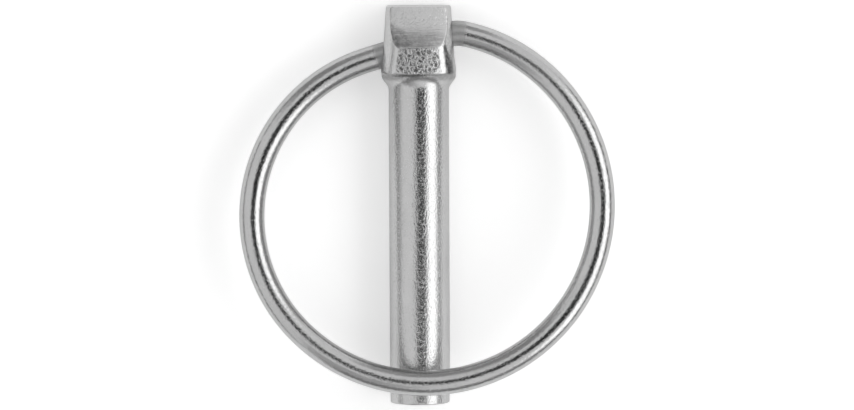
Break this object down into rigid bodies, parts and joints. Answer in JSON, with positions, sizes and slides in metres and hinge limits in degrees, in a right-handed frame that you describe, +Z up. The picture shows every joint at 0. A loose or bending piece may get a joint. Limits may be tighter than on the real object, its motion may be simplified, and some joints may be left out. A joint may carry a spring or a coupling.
{
  "type": "lynch pin",
  "caption": "Round forged lynch pin with a faceted head and a sprung wire ring hinged in the head, closed across the shank.",
  "frame": {"origin": "on the shank's axis, where the shank's full diameter starts under the head; the pin lies on its back and the floor is 5 mm below this point", "axes": "+Y along the shank towards the head, +Z up, out of the pin's front, where the closed ring crosses the shank, and +X towards the higher of the ring's two holes"},
  "size_m": [0.0621, 0.066, 0.0146],
  "materials": {
    "plated_pin": "bright zinc plating over forged steel, finely speckled, with the forging's marks on the head",
    "plated_wire": "zinc-plated spring wire, finely speckled"
  },
  "bodies": {
    "pin_body": {"pin": "plated_pin"},
    "ring_body": {"ring": "plated_wire"}
  },
  "joints": [
    {"name": "ring_swing", "type": "hinge", "parent": "pin_body", "child": "ring_body", "pos_m": [0, 0.00785, 0], "axis": [-0.9556, -0.2947, 0], "range_deg": [0, 172], "stiffness_Nm_per_rad": 0.25, "springref_deg": -5.73}
  ]
}
